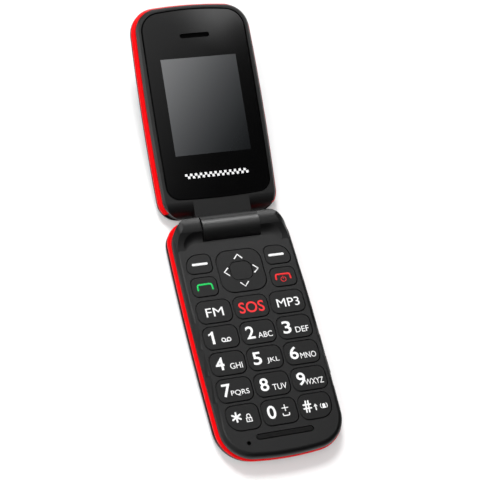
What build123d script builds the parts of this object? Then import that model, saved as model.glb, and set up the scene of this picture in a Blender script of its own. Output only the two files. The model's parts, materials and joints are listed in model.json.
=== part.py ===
"""Flip phone with a keypad base, a display lid and a barrel hinge, all sizes in mm.

The base lies on its back on the XY plane.  X runs across the phone, Y runs from the
microphone end to the hinge, Z points out of the keypad.  The origin is the middle of the
back of the base.  The lid is modelled open against its stop.
"""
import os
from math import cos, radians, sin, sqrt

from build123d import *

# ---------------------------------------------------------------- driving dimensions
# overall
hinge_to_end = 95.5        # hinge axis to the microphone end of the base
base_thickness = 10.5      # back of the base to its keypad face
lid_reach = 93.9           # hinge axis to the far end of the lid
lid_thickness = 8.2        # window face to the outside of the lid
opening_angle = 161.6      # how far the lid turns from closed to its stop
closed_gap = 0.5           # keypad face to window face when shut

# hinge
knuckle_radius = 5.8       # outside of the barrel and of the two base knuckles
axis_depth = 2.1           # hinge axis below the keypad face
barrel_half = 11.7         # half the length of the lid barrel
knuckle_gap = 0.3          # end float between barrel and each knuckle
cradle_clearance = 0.2     # air between barrel and cradle
neck_end = 14.0            # how far the neck reaches up the lid from the axis
running_clearance = 0.05   # radial, between pins and their bores
pivot_radius = 2.5
pivot_wall = 0.8
pivot_grip = 5.5           # length of a pin inside its knuckle
pivot_reach = 8.5          # length of the pivot tube inside the barrel
cam_radius = 2.9
cam_length = 11.0
drive_radius = 1.5
drive_reach = 8.5          # length of the drive pin inside the cam unit

# base shells
base_half_width = 24.8
band_proud = 1.0           # band and back stand this far outside the front housing
back_proud = 1.1
back_end_inset = 0.9       # the back stops short of the band at the microphone end
side_bow = 0.9             # how much narrower the plan is at its ends
end_bow = 2.8              # how much the microphone end bulges
end_corner = 12.5
hinge_corner = 8.5
band_top = 7.4             # height of the band's upper edge on the base
band_bottom = 4.0
band_edge = 1.5            # rounding of the band's outside
band_wall = 2.0
back_edge = 3.3            # rounding of the back
face_edge = 1.9            # rounding of the keypad face
seam = 0.1                 # parting gap between shells
wall = 1.2                 # moulded walls
face_wall = 1.1            # keypad face and battery cover
cover_end = 3.5            # battery cover stops this far short of the hinge axis
scallop_length = 11.6      # thumb scallop in the end of the battery cover
scallop_width = 2.9
scallop_depth = 0.55

# shoulders beside the barrel
shoulder_run = 13.0        # where the shoulders start to rise, before the axis
shoulder_sunk = 0.35       # they start this far below the face, so that they blend in
shoulder_front = 1.8       # front crest of the shoulders, before the axis
shoulder_crown = 0.45      # bulge of their tops
shoulder_roll = 5.3        # radius that rolls their outer sides over
shoulder_corner = 12.0     # plan rounding of the front housing beside the knuckles
dish_margin = 2.0          # foot of the dish wall inside the narrow end of the sides
dish_front = 3.9           # foot of the dish wall, before the axis
dish_corner = 7.0
dish_slope = 45.0          # dish wall, measured from upright
dish_round = 5.0

# keypad
keypad_margin = 2.98       # outermost keys from the sides of the front housing
column_gap = 0.97          # between two keys of a row
row_pitch = 10.8
first_row = 35.5           # function row, before the axis
key_height = 9.6
key_corner = 3.0
last_row_extra = 0.7       # the bottom row is taller
outer_last_trim = 1.0      # star and hash are narrower
side_key_margin = 3.45     # soft and call keys from the sides
side_key_width = 10.4
side_key_height = 8.3
side_key_corner = 2.4
soft_row = 15.0
call_row = 24.8
nav_row = 19.85
nav_gap = 1.7              # between the direction key and the keys beside it
nav_height = 18.2
nav_corner = 5.0
ok_width = 8.9
ok_height = 7.9
ok_corner = 2.8
ok_play = 0.1              # air round the OK key
ok_sunk = 0.1              # its top below the direction key
big_corner = 5.2           # outer corner of the soft keys, star and hash
key_proud = 0.2            # key tops above the keypad face
key_edge = 0.3
key_play = 0.15            # air round each key in its opening
key_flange = 0.3
flange_height = 0.55
key_travel = 0.35

# sound slots
slot_row = 87.4            # before the axis
slot_length = 22.3
slot_width = 1.9
slot_groove = 0.25
mic_x = -14.7
mic_row = 89.1
mic_hole = 0.8

# inside the base
battery_width = 38.0
battery_length = 50.0
battery_thickness = 4.0
battery_row = 51.5
battery_play = 0.15
battery_edge = 0.8
contact_size = (10.0, 1.5, 4.6)
blade_gap = 0.6            # between the blades of the battery contacts
blade_count = 3
board_thickness = 0.8
board_end = 12.0           # board stops this far before the axis
mat_thickness = 0.45
mat_play = 0.9             # mat from the walls of the front housing
dome_height = 0.25
dome_radius = 2.6
dome_sides = 8
floor_thickness = 0.65
screw_radius = 0.8
screw_head_radius = 1.5
screw_head_height = 0.9
screw_seat = 3.4           # height of the base screws' seats above the back
boss_radius = 1.65
boss_play = 0.2
upper_screw_margin = 6.8   # screws from the sides of the front housing
lower_screw_margin = 8.2
upper_screw_row = 7.9      # before the axis
lower_screw_row = 86.35
sim_size = (26.0, 11.5, 1.4)
sim_plate = 0.3            # sheet above and below the card
sim_gap = 0.8              # between the card holder and the battery contacts
usb_height = 2.3
usb_width = 7.5
usb_back = 0.75            # socket from the battery bay
usb_row = 62.0
usb_wall = 0.3
usb_setback = 0.3          # mouth of the socket inside the outside of the band
speaker_size = (15.0, 5.0, 1.5)
speaker_edge = 0.2
antenna_size = (28.0, 9.0, 2.6)
antenna_row = 84.0
shield_size = (34.0, 26.0, 0.7)
shield_row = 42.0
mic_radius = 1.2
mic_port = 0.3             # depth of the port in the top of the capsule

# lid shells
lid_half_width = 24.3
lid_band_proud = 1.3       # band and back stand this far outside the lid frame
lid_back_proud = 1.3
lid_flare = 1.0            # how far the band's outside slopes outwards
lid_corner = 9.5
lid_end_bow = 1.7
lid_hinge_corner = 8.0
lid_low_bow = 0.6
lid_start = 6.2            # lid shells start this far from the axis
lid_band_top = 2.2         # depth of the band's upper edge below the window face
lid_band_bottom = 5.5
lid_bevel = 0.8
lid_band_edge = 0.7
chin_depth = 2.9           # solid length of the chin
chin_round = 6.5           # roll of the lid's hinge end
lid_back_edge = 2.4

# window and display
window_margin = 2.25       # window edge from the sides of the lid frame
window_end_margin = 2.85   # and from its far end
window_low = 13.15         # window edge at the hinge, from the axis
window_low_bow = 0.9
window_high_bow = 2.0
window_side_bow = 0.4
window_low_corner = 5.5
window_high_corner = 8.0
window_thickness = 1.0
window_groove = 0.2
view_width = 31.68
view_low = 31.15
view_gap = 9.2             # from the picture to the middle of the ear slot
display_border = 2.0
display_thickness = 2.3
display_corner = 0.5
ear_margin = 13.95         # middle of the ear slot from the far end of the lid
ear_length = 12.4
ear_width = 1.9
ear_setback = 0.6          # grille face below the window face
camera_row = 22.0
camera_radius = 3.2
lens_rise = 0.5            # lens barrel above the camera module
lid_low_screw = (6.0, 18.0)     # from the sides of the lid frame, from the axis
lid_high_screw = (7.8, 7.9)     # from its sides, from its far end
lid_head_height = 0.6
lid_board_thickness = 0.7
ear_depth = 6.0
ear_thickness = 2.4
magnet_radius = 1.6
magnet_x = 9.5
motor_x = -11.0
motor_radius = 4.0
motor_height = 2.7

# ---------------------------------------------------------------- places worked out
band_half_width = base_half_width + band_proud
back_half_width = base_half_width + back_proud
shoulder_side = base_half_width - side_bow
key_width = (2 * (base_half_width - keypad_margin) - 2 * column_gap) / 3
column_pitch = key_width + column_gap
side_key_x = base_half_width - side_key_margin - side_key_width / 2
nav_width = 2 * (side_key_x - side_key_width / 2 - nav_gap)
upper_screw = (base_half_width - upper_screw_margin, upper_screw_row)
lower_screw = (base_half_width - lower_screw_margin, lower_screw_row)
bay_end = battery_row - battery_length / 2 - battery_play
sim_row = bay_end - contact_size[1] - sim_gap - sim_size[1] / 2
usb_outer = band_half_width - usb_setback
usb_length = usb_outer - usb_back - battery_width / 2 - battery_play
lid_band_half_width = lid_half_width + lid_band_proud
lid_back_half_width = lid_half_width + lid_back_proud
window_half_width = lid_half_width - window_margin
window_high = lid_reach - window_end_margin
ear_row = lid_reach - ear_margin
view_height = ear_row - view_gap - view_low
lid_screw_spots = [(side * (lid_half_width - margin), row)
                   for margin, row in (lid_low_screw, (lid_high_screw[0], lid_reach - lid_high_screw[1]))
                   for side in (-1, 1)]
axis_z = base_thickness - axis_depth
hinge_y = (hinge_to_end - knuckle_radius) / 2
base_low = hinge_y - hinge_to_end
base_high = hinge_y + knuckle_radius
cradle_radius = knuckle_radius + cradle_clearance
knuckle_inner = barrel_half + knuckle_gap
key_floor = base_thickness - face_wall
flange_top = key_floor - running_clearance
key_bottom = flange_top - flange_height
board_top = key_bottom - key_travel - running_clearance - mat_thickness - dome_height
board_bottom = board_top - board_thickness
battery_bottom = face_wall + battery_play
floor_bottom = battery_bottom + battery_thickness + seam
floor_top = floor_bottom + floor_thickness
last_row = first_row + 4 * row_pitch

lid_elevation = 180.0 - opening_angle
axis_above_window = axis_depth + closed_gap
along_lid = Vector(0, cos(radians(lid_elevation)), sin(radians(lid_elevation)))
out_of_window = Vector(0, -sin(radians(lid_elevation)), cos(radians(lid_elevation)))
lid_origin = Vector(0, hinge_y, axis_z) - out_of_window * axis_above_window
lid_plane = Plane(origin=lid_origin, x_dir=(1, 0, 0), z_dir=out_of_window)
neck_thickness = knuckle_radius - axis_above_window

# planes seen from the right-hand side: local x runs towards the hinge or up the lid
side_plane = Plane(origin=(0, hinge_y, axis_z), x_dir=(0, 1, 0), z_dir=(1, 0, 0))
lid_side = Plane(origin=lid_origin, x_dir=along_lid, z_dir=(1, 0, 0))


def save(part, name):
    """Label one finished piece and write it as its own STEP file."""
    part.label = name
    export_step(part, f"parts/{name}.step")


def long_plan(half_width, low, high, low_corner, high_corner, low_bow, high_bow, bow):
    """A long rounded plan with bowed sides and bowed or straight ends."""
    end_half = half_width - bow
    corners = [(end_half, low + low_bow), (end_half, high - high_bow)]
    middle = (low + high) / 2
    with BuildSketch() as plan:
        with BuildLine():
            ThreePointArc(corners[0], (half_width, middle), corners[1])
            if high_bow:
                ThreePointArc(corners[1], (0, high), (-end_half, high - high_bow))
            else:
                Line(corners[1], (-end_half, high))
            ThreePointArc((-end_half, high - high_bow), (-half_width, middle), (-end_half, low + low_bow))
            ThreePointArc((-end_half, low + low_bow), (0, low), corners[0])
        make_face()
        fillet(plan.vertices().group_by(Axis.Y)[0], low_corner)
        fillet(plan.vertices().group_by(Axis.Y)[-1], high_corner)
    return plan.sketch


def base_plan(half_width, inset=0.0):
    """Plan of a base shell, drawn in by the same inset all round."""
    corner = end_corner + half_width - base_half_width - inset
    hinge_round = hinge_corner + half_width - base_half_width - inset
    return long_plan(half_width - inset, base_low + inset, base_high - inset,
                     corner, hinge_round, end_bow, 0, side_bow)


def front_plan():
    """Plan of the keypad side, with rounder corners at the hinge than the shells below."""
    return long_plan(base_half_width, base_low, base_high, end_corner, shoulder_corner, end_bow, 0, side_bow)


def back_plan(inset=0.0):
    """Plan of the back, which stops short of the band at the microphone end."""
    corner = end_corner + back_proud - inset
    hinge_round = hinge_corner + back_proud - inset
    return long_plan(back_half_width - inset, base_low + back_end_inset + inset, base_high - inset,
                     corner, hinge_round, end_bow, 0, side_bow)


def lid_plan(half_width, reach, inset=0.0):
    """Plan of a lid shell in the lid's own frame, hinge axis at y = 0."""
    corner = lid_corner + half_width - lid_half_width - inset
    return long_plan(half_width - inset, lid_start + inset, reach - inset,
                     lid_hinge_corner - inset, corner, lid_low_bow, lid_end_bow, side_bow)


def window_plan(margin=0.0):
    """Plan of the lid window in the lid's own frame, with a margin all round."""
    return long_plan(window_half_width + margin, window_low - margin, window_high + margin,
                     window_low_corner + margin, window_high_corner + margin,
                     window_low_bow, window_high_bow, window_side_bow)


def grown(outline, amount):
    """The same outline with a margin all round, ready to be added at a place."""
    return offset(outline, amount=amount, mode=Mode.PRIVATE)


def key_outline(width, height, corner, far_corner=None, towards=(0, 0)):
    """A rounded key, with one larger corner in the direction given."""
    with BuildSketch() as outline:
        Rectangle(width, height)
        if far_corner is None:
            fillet(outline.vertices(), corner)
        else:
            diagonal = Axis((0, 0, 0), (towards[0], towards[1], 0))
            fillet(outline.vertices().sort_by(diagonal)[:-1], corner)
            fillet(outline.vertices().sort_by(diagonal)[-1], far_corner)
    return outline.sketch


# ---------------------------------------------------------------- key table
# name, across, before the axis, outline
main_key = key_outline(key_width, key_height, key_corner)
keys = []
for row, names in enumerate([("key_radio", "key_sos", "key_music"),
                             ("key_1", "key_2", "key_3"),
                             ("key_4", "key_5", "key_6"),
                             ("key_7", "key_8", "key_9")]):
    for column, name in enumerate(names):
        keys.append((name, (column - 1) * column_pitch, first_row + row * row_pitch, main_key))
last_height = key_height + last_row_extra
outer_last_width = key_width - outer_last_trim
outer_last_x = column_pitch - outer_last_trim / 2
last_y = last_row + last_row_extra / 2
keys.append(("key_star", -outer_last_x, last_y,
             key_outline(outer_last_width, last_height, key_corner, big_corner, (-1, -1))))
keys.append(("key_0", 0, last_y, key_outline(key_width, last_height, key_corner)))
keys.append(("key_hash", outer_last_x, last_y,
             key_outline(outer_last_width, last_height, key_corner, big_corner, (1, -1))))
for side, name in ((-1, "soft_left"), (1, "soft_right")):
    keys.append((name, side * side_key_x, soft_row,
                 key_outline(side_key_width, side_key_height, side_key_corner, big_corner, (side, 1))))
for side, name in ((-1, "key_call"), (1, "key_end")):
    keys.append((name, side * side_key_x, call_row,
                 key_outline(side_key_width, side_key_height, side_key_corner)))
nav_outline = key_outline(nav_width, nav_height, nav_corner)
ok_outline = key_outline(ok_width, ok_height, ok_corner)
keys.append(("key_nav", 0, nav_row, nav_outline))

os.makedirs("parts", exist_ok=True)

# ---------------------------------------------------------------- keys
for name, across, before_axis, outline in keys:
    centre = (across, hinge_y - before_axis)
    with BuildPart() as key:
        with BuildSketch(Plane.XY.offset(key_bottom)):
            with Locations(centre):
                add(grown(outline, key_flange))
        extrude(amount=flange_height)
        with BuildSketch(Plane.XY.offset(flange_top)):
            with Locations(centre):
                add(outline)
        extrude(amount=base_thickness + key_proud - flange_top)
        chamfer(key.faces().sort_by(Axis.Z)[-1].edges(), key_edge)
        if name == "key_nav":
            with BuildSketch(Plane.XY.offset(key_bottom)):
                with Locations(centre):
                    add(grown(ok_outline, ok_play))
            extrude(amount=base_thickness, mode=Mode.SUBTRACT)
    save(key.part, name)

with BuildPart() as key_ok:
    with BuildSketch(Plane.XY.offset(key_bottom)):
        with Locations((0, hinge_y - nav_row)):
            add(ok_outline)
    extrude(amount=base_thickness + key_proud - ok_sunk - key_bottom)
    chamfer(key_ok.faces().sort_by(Axis.Z)[-1].edges(), key_edge - ok_sunk)
save(key_ok.part, "key_ok")

# ---------------------------------------------------------------- front housing
# The dish that the keypad face runs up into between the shoulders.
with BuildPart() as dish:
    with BuildSketch(Plane.XY.offset(base_thickness)):
        with Locations((0, hinge_y - dish_front)):
            RectangleRounded(2 * (shoulder_side - dish_margin), 2 * shoulder_side, dish_corner,
                             align=(Align.CENTER, Align.MAX))
    extrude(amount=knuckle_radius, taper=-dish_slope)
    fillet(dish.faces().sort_by(Axis.Z)[0].edges(), dish_round)

shoulder_height = knuckle_radius * sin(radians(45))     # tops above the hinge axis
foot_height = axis_depth - shoulder_sunk
rise = shoulder_height - foot_height
run = shoulder_run - shoulder_front
cove_radius = (run**2 + rise**2) / (2 * rise)

with BuildPart() as shoulders:
    # side profile: a long cove, the crowned top, then round the hinge axis to the back
    with BuildSketch(side_plane):
        with BuildLine():
            foot = (-shoulder_run, foot_height)
            crest = (-shoulder_front, shoulder_height)
            half_turn = run / (2 * cove_radius)
            cove_middle = (-shoulder_run + cove_radius * sin(half_turn),
                           foot_height + cove_radius * (1 - cos(half_turn)))
            ThreePointArc(foot, cove_middle, crest)
            over = (shoulder_height, shoulder_height)
            crown = ((over[0] - shoulder_front) / 2, shoulder_height + shoulder_crown)
            ThreePointArc(crest, crown, over)
            low_turn = radians(22.5)
            ThreePointArc(over, (knuckle_radius * cos(low_turn), knuckle_radius * sin(low_turn)),
                          (knuckle_radius, 0))
            Polyline((knuckle_radius, 0), (knuckle_radius, band_top + seam - axis_z),
                     (-shoulder_run, band_top + seam - axis_z), foot)
        make_face()
    extrude(amount=base_half_width, both=True)
    # front profile: the tops roll over into the sides
    top_z = axis_z + shoulder_height + shoulder_crown
    with BuildSketch(Plane.XZ.offset(-base_high)) as front_view:
        with Locations((0, top_z)):
            Rectangle(2 * shoulder_side, top_z - band_top, align=(Align.CENTER, Align.MAX))
        fillet(front_view.vertices().group_by(Axis.Y)[-1], shoulder_roll)
    extrude(amount=2 * (knuckle_radius + shoulder_run), mode=Mode.INTERSECT)
    with BuildSketch(Plane.XY.offset(band_top)):
        add(front_plan())
    extrude(amount=base_thickness, mode=Mode.INTERSECT)
    add(dish.part, mode=Mode.SUBTRACT)

# Pods that carry the pins reach down inside the band.
pod_half = knuckle_radius - band_wall - seam
with BuildPart() as pods:
    for side in (-1, 1):
        with BuildSketch(side_plane.offset(side * knuckle_inner)):
            Rectangle(2 * pod_half, axis_z - band_bottom - seam, align=(Align.CENTER, Align.MAX))
        extrude(amount=side * (pivot_grip + wall))
    with BuildSketch(Plane.XY):
        add(base_plan(band_half_width, band_wall + seam))
    extrude(amount=base_thickness, mode=Mode.INTERSECT)

with BuildPart() as front_housing:
    with BuildSketch(Plane.XY.offset(band_top + seam)):
        add(front_plan())
    extrude(amount=base_thickness - band_top - seam)
    fillet(front_housing.faces().sort_by(Axis.Z)[-1].edges(), face_edge)
    add(shoulders.part)
    # hollow below the face, short of the cradle
    with BuildSketch(Plane.XY.offset(band_top)):
        add(base_plan(base_half_width, wall))
        with Locations((0, hinge_y - cradle_radius - wall)):
            Rectangle(3 * base_half_width, hinge_to_end, align=(Align.CENTER, Align.MIN),
                      mode=Mode.SUBTRACT)
    extrude(amount=key_floor - band_top, mode=Mode.SUBTRACT)
    add(pods.part)
    # room for the barrel, and for the neck on its way from open to shut
    with BuildSketch(side_plane):
        Circle(cradle_radius)
        with Locations((0, axis_depth)):
            Rectangle(2 * shoulder_run, 2 * knuckle_radius, align=(Align.CENTER, Align.MIN))
        with Locations((0, -knuckle_radius)):
            Rectangle(3 * cradle_radius, 3 * knuckle_radius, align=(Align.MIN, Align.MIN))
    extrude(amount=knuckle_inner, both=True, mode=Mode.SUBTRACT)
    # pin seats in the knuckles
    for side in (-1, 1):
        with BuildSketch(side_plane.offset(side * knuckle_inner)):
            Circle(pivot_radius + running_clearance / 2)
        extrude(amount=side * (pivot_grip + running_clearance), mode=Mode.SUBTRACT)
    # key openings
    for name, across, before_axis, outline in keys:
        with BuildSketch(Plane.XY.offset(key_floor)):
            with Locations((across, hinge_y - before_axis)):
                add(grown(outline, key_play))
        extrude(amount=2 * face_wall, mode=Mode.SUBTRACT)
    # sound slot and microphone hole
    with BuildSketch(Plane.XY.offset(key_floor)):
        with Locations((0, hinge_y - slot_row)):
            SlotOverall(slot_length + 2 * slot_groove, slot_width + 2 * slot_groove)
        with Locations((mic_x, hinge_y - mic_row)):
            Circle(mic_hole)
    extrude(amount=2 * face_wall, mode=Mode.SUBTRACT)
    # screw bosses
    for across, before_axis in (upper_screw, lower_screw):
        with BuildSketch(Plane.XY.offset(floor_top + seam)):
            with Locations((across, hinge_y - before_axis), (-across, hinge_y - before_axis)):
                Circle(boss_radius)
        extrude(amount=key_floor - floor_top)
        with BuildSketch(Plane.XY.offset(floor_top)):
            with Locations((across, hinge_y - before_axis), (-across, hinge_y - before_axis)):
                Circle(screw_radius)
        extrude(amount=key_floor - floor_top, mode=Mode.SUBTRACT)
save(front_housing.part, "front_housing")

# ---------------------------------------------------------------- base band
with BuildPart() as base_band:
    with BuildSketch(Plane.XY.offset(band_bottom)):
        add(base_plan(band_half_width))
    extrude(amount=band_top - band_bottom)
    fillet(base_band.faces().sort_by(Axis.Z)[-1].edges(), band_edge)
    fillet(base_band.faces().sort_by(Axis.Z)[0].edges(), band_edge)
    with BuildSketch(Plane.XY):
        add(base_plan(band_half_width, band_wall))
        with Locations((0, base_high)):
            Rectangle(2 * knuckle_inner, 4 * band_wall)
    extrude(amount=base_thickness, mode=Mode.SUBTRACT)
    with BuildSketch(Plane.YZ):
        with Locations((hinge_y - usb_row, board_bottom - usb_height / 2)):
            Rectangle(usb_width + 2 * seam, usb_height + 2 * seam)
    extrude(amount=2 * band_half_width, mode=Mode.SUBTRACT)
save(base_band.part, "base_band")

# ---------------------------------------------------------------- back of the base
back_top = band_bottom - seam
with BuildPart() as back_form:
    with BuildSketch(Plane.XY):
        add(back_plan())
    extrude(amount=back_top)
    fillet(back_form.faces().sort_by(Axis.Z)[0].edges(), back_edge)

with BuildPart() as cover_inside:
    with BuildSketch(Plane.XY.offset(face_wall)):
        add(back_plan(face_wall))
    extrude(amount=base_thickness)
    fillet(cover_inside.faces().sort_by(Axis.Z)[0].edges(), back_edge - face_wall)

with BuildPart() as battery_cover:
    add(back_form.part)
    add(cover_inside.part, mode=Mode.SUBTRACT)
    with BuildSketch(Plane.XY):
        with Locations((0, hinge_y - cover_end)):
            Rectangle(3 * back_half_width, 6 * knuckle_radius, align=(Align.CENTER, Align.MIN))
    extrude(amount=base_thickness, mode=Mode.SUBTRACT)
    # thumb scallop for lifting the cover, in the edge beside the hinge
    with BuildSketch(Plane.XY):
        with Locations((0, hinge_y - cover_end)):
            SlotOverall(scallop_length, scallop_width)
    extrude(amount=scallop_depth, mode=Mode.SUBTRACT)
save(battery_cover.part, "battery_cover")

tray_inset = band_wall + seam
with BuildPart() as rear_housing:
    with BuildSketch(Plane.XY.offset(face_wall + seam)):
        add(base_plan(band_half_width, tray_inset))
    extrude(amount=band_top - face_wall - seam)
    fillet(rear_housing.faces().sort_by(Axis.Z)[0].edges(), back_edge - face_wall + 2 * seam)
    # the bridge that closes the back below the hinge
    with BuildSketch(Plane.XY):
        add(back_plan())
        with Locations((0, hinge_y - cover_end + seam)):
            Rectangle(3 * back_half_width, hinge_to_end, align=(Align.CENTER, Align.MAX),
                      mode=Mode.SUBTRACT)
    bridge = extrude(amount=back_top, mode=Mode.PRIVATE)
    add(bridge & back_form.part)
    # board space above the floor, up to the knuckle pods
    with BuildSketch(Plane.XY.offset(floor_top)):
        add(base_plan(band_half_width, tray_inset + wall))
        with Locations((0, hinge_y - knuckle_radius)):
            Rectangle(3 * back_half_width, 6 * knuckle_radius, align=(Align.CENTER, Align.MIN),
                      mode=Mode.SUBTRACT)
    extrude(amount=base_thickness, mode=Mode.SUBTRACT)
    with BuildSketch(Plane.XY.offset(floor_top)):
        with Locations((lower_screw[0], hinge_y - lower_screw[1]),
                       (-lower_screw[0], hinge_y - lower_screw[1])):
            Circle(boss_radius + seam)
    extrude(amount=base_thickness, mode=Mode.SUBTRACT)
    # seats for the knuckle pods
    with BuildSketch(Plane.XY.offset(band_bottom)):
        for side in (-1, 1):
            with Locations((side * knuckle_inner, hinge_y)):
                Rectangle(2 * (pivot_grip + wall + seam), 2 * (pod_half + seam))
    extrude(amount=base_thickness, mode=Mode.SUBTRACT)
    # cradle for the barrel and the swing of the neck
    with BuildSketch(side_plane):
        Circle(cradle_radius)
        with Locations(Location((0, 0, 0), (0, 0, lid_elevation))):
            Rectangle(3 * cradle_radius, 2 * cradle_radius, align=(Align.MIN, Align.CENTER))
        with Locations((0, -knuckle_radius / 2)):
            Rectangle(2 * cradle_radius, 2 * cradle_radius, align=(Align.CENTER, Align.MIN))
    extrude(amount=knuckle_inner, both=True, mode=Mode.SUBTRACT)
    # battery bay, with the slot for its contacts
    bay_top = hinge_y - battery_row + battery_length / 2 + battery_play
    with BuildSketch(Plane.XY):
        with Locations((0, hinge_y - battery_row)):
            Rectangle(battery_width + 2 * battery_play, battery_length + 2 * battery_play)
    extrude(amount=floor_bottom, mode=Mode.SUBTRACT)
    with BuildSketch(Plane.XY):
        with Locations((0, bay_top)):
            Rectangle(contact_size[0] + 2 * seam, contact_size[1] + seam,
                      align=(Align.CENTER, Align.MIN))
        with Locations((0, hinge_y - sim_row)):
            Rectangle(sim_size[0] + 2 * wall, sim_size[1] + 2 * seam)
    extrude(amount=base_thickness, mode=Mode.SUBTRACT)
    # antenna pocket
    with BuildSketch(Plane.XY):
        with Locations((0, hinge_y - antenna_row)):
            Rectangle(antenna_size[0] + 2 * battery_play, antenna_size[1] + 2 * battery_play)
    extrude(amount=battery_bottom + antenna_size[2] + seam, mode=Mode.SUBTRACT)
    # socket opening
    with BuildSketch(Plane.YZ.offset(battery_width / 2 + battery_play + seam)):
        with Locations((hinge_y - usb_row, board_bottom - usb_height / 2)):
            Rectangle(usb_width + 2 * seam, usb_height + 2 * seam)
    extrude(amount=band_half_width, mode=Mode.SUBTRACT)
    # screw holes with recessed seats
    for across, before_axis in (upper_screw, lower_screw):
        spots = [(across, hinge_y - before_axis), (-across, hinge_y - before_axis)]
        with BuildSketch(Plane.XY):
            with Locations(*spots):
                Circle(screw_head_radius + seam)
        extrude(amount=screw_seat, mode=Mode.SUBTRACT)
        with BuildSketch(Plane.XY):
            with Locations(*spots):
                Circle(screw_radius + seam)
        extrude(amount=base_thickness, mode=Mode.SUBTRACT)
save(rear_housing.part, "rear_housing")

# ---------------------------------------------------------------- inside the base
with BuildPart() as battery:
    with BuildSketch(Plane.XY.offset(battery_bottom)):
        with Locations((0, hinge_y - battery_row)):
            RectangleRounded(battery_width, battery_length, 2 * battery_edge)
    extrude(amount=battery_thickness)
    fillet(battery.faces().sort_by(Axis.Z)[0].edges(), battery_edge)
save(battery.part, "battery")

with BuildPart() as battery_contacts:
    with BuildSketch(Plane.XY.offset(board_bottom)):
        with Locations((0, bay_top + seam)):
            Rectangle(contact_size[0], contact_size[1] - seam, align=(Align.CENTER, Align.MIN))
    extrude(amount=-contact_size[2])
    # one groove between each of the three blades
    with BuildSketch(Plane.XY.offset(board_bottom - contact_size[2])):
        with Locations((0, bay_top + seam)):
            with GridLocations(contact_size[0] / blade_count, 1, blade_count - 1, 1):
                Rectangle(blade_gap, contact_size[1])
    extrude(amount=contact_size[2] / 2, mode=Mode.SUBTRACT)
save(battery_contacts.part, "battery_contacts")

with BuildPart() as main_board:
    with BuildSketch(Plane.XY.offset(board_bottom)):
        add(base_plan(band_half_width, tray_inset + wall + boss_play))
        with Locations((0, hinge_y - board_end)):
            Rectangle(3 * base_half_width, 2 * hinge_to_end, align=(Align.CENTER, Align.MIN),
                      mode=Mode.SUBTRACT)
        with Locations((lower_screw[0], hinge_y - lower_screw[1]),
                       (-lower_screw[0], hinge_y - lower_screw[1])):
            Circle(boss_radius + boss_play, mode=Mode.SUBTRACT)
    extrude(amount=board_thickness)
save(main_board.part, "main_board")

with BuildPart() as shield_can:
    with BuildSketch(Plane.XY.offset(board_bottom)):
        with Locations((0, hinge_y - shield_row)):
            RectangleRounded(shield_size[0], shield_size[1], wall)
    extrude(amount=-shield_size[2])
    with BuildSketch(Plane.XY.offset(board_bottom)):
        with Locations((0, hinge_y - shield_row)):
            RectangleRounded(shield_size[0] - 2 * seam, shield_size[1] - 2 * seam, wall - seam)
    extrude(amount=-shield_size[2] + seam, mode=Mode.SUBTRACT)
save(shield_can.part, "shield_can")

with BuildPart() as sim_holder:
    with BuildSketch(Plane.XY.offset(board_bottom)):
        with Locations((0, hinge_y - sim_row)):
            Rectangle(sim_size[0], sim_size[1])
    extrude(amount=-sim_size[2])
    # the card slides in under the top plate
    with BuildSketch(Plane.XY.offset(board_bottom - sim_plate)):
        with Locations((wall, hinge_y - sim_row)):
            Rectangle(sim_size[0], sim_size[1] - 2 * wall)
    extrude(amount=-(sim_size[2] - 2 * sim_plate), mode=Mode.SUBTRACT)
save(sim_holder.part, "sim_holder")

dome_spots = [(across, hinge_y - before_axis) for _, across, before_axis, _ in keys]
dome_spots += [(side * nav_width / 3, hinge_y - nav_row) for side in (-1, 1)]
dome_spots += [(0, hinge_y - nav_row + side * nav_height / 3) for side in (-1, 1)]
with BuildPart() as key_domes:
    with BuildSketch(Plane.XY.offset(board_top)):
        with Locations(*dome_spots):
            RegularPolygon(dome_radius, dome_sides)
    extrude(amount=dome_height)
save(key_domes.part, "key_domes")

mat_bottom = board_top + dome_height
mat_low = last_y + last_height / 2
with BuildPart() as keypad_mat:
    with BuildSketch(Plane.XY.offset(mat_bottom)):
        with Locations((0, hinge_y - board_end)):
            Rectangle(2 * (shoulder_side - wall - mat_play), mat_low - board_end,
                      align=(Align.CENTER, Align.MAX))
    extrude(amount=mat_thickness)
save(keypad_mat.part, "keypad_mat")

with BuildPart() as loudspeaker:
    with BuildSketch(Plane.XY.offset(board_top)):
        with Locations((0, hinge_y - slot_row)):
            RectangleRounded(speaker_size[0], speaker_size[1], wall)
    extrude(amount=speaker_size[2])
    fillet(loudspeaker.faces().sort_by(Axis.Z)[-1].edges(), speaker_edge)
save(loudspeaker.part, "loudspeaker")

with BuildPart() as sound_grille:
    with BuildSketch(Plane.XY.offset(key_floor - seam)):
        with Locations((0, hinge_y - slot_row)):
            SlotOverall(slot_length, slot_width)
    extrude(amount=face_wall + seam)
    fillet(sound_grille.faces().sort_by(Axis.Z)[-1].edges(), slot_groove)
save(sound_grille.part, "sound_grille")

with BuildPart() as microphone:
    with BuildSketch(Plane.XY.offset(board_top)):
        with Locations((mic_x, hinge_y - mic_row)):
            Circle(mic_radius)
    extrude(amount=key_floor - seam - board_top)
    with BuildSketch(Plane.XY.offset(key_floor - seam)):
        with Locations((mic_x, hinge_y - mic_row)):
            Circle(mic_hole)
    extrude(amount=-mic_port, mode=Mode.SUBTRACT)
save(microphone.part, "microphone")

with BuildPart() as antenna:
    with BuildSketch(Plane.XY.offset(battery_bottom)):
        with Locations((0, hinge_y - antenna_row)):
            RectangleRounded(antenna_size[0], antenna_size[1], wall)
    extrude(amount=antenna_size[2])
save(antenna.part, "antenna")

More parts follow.
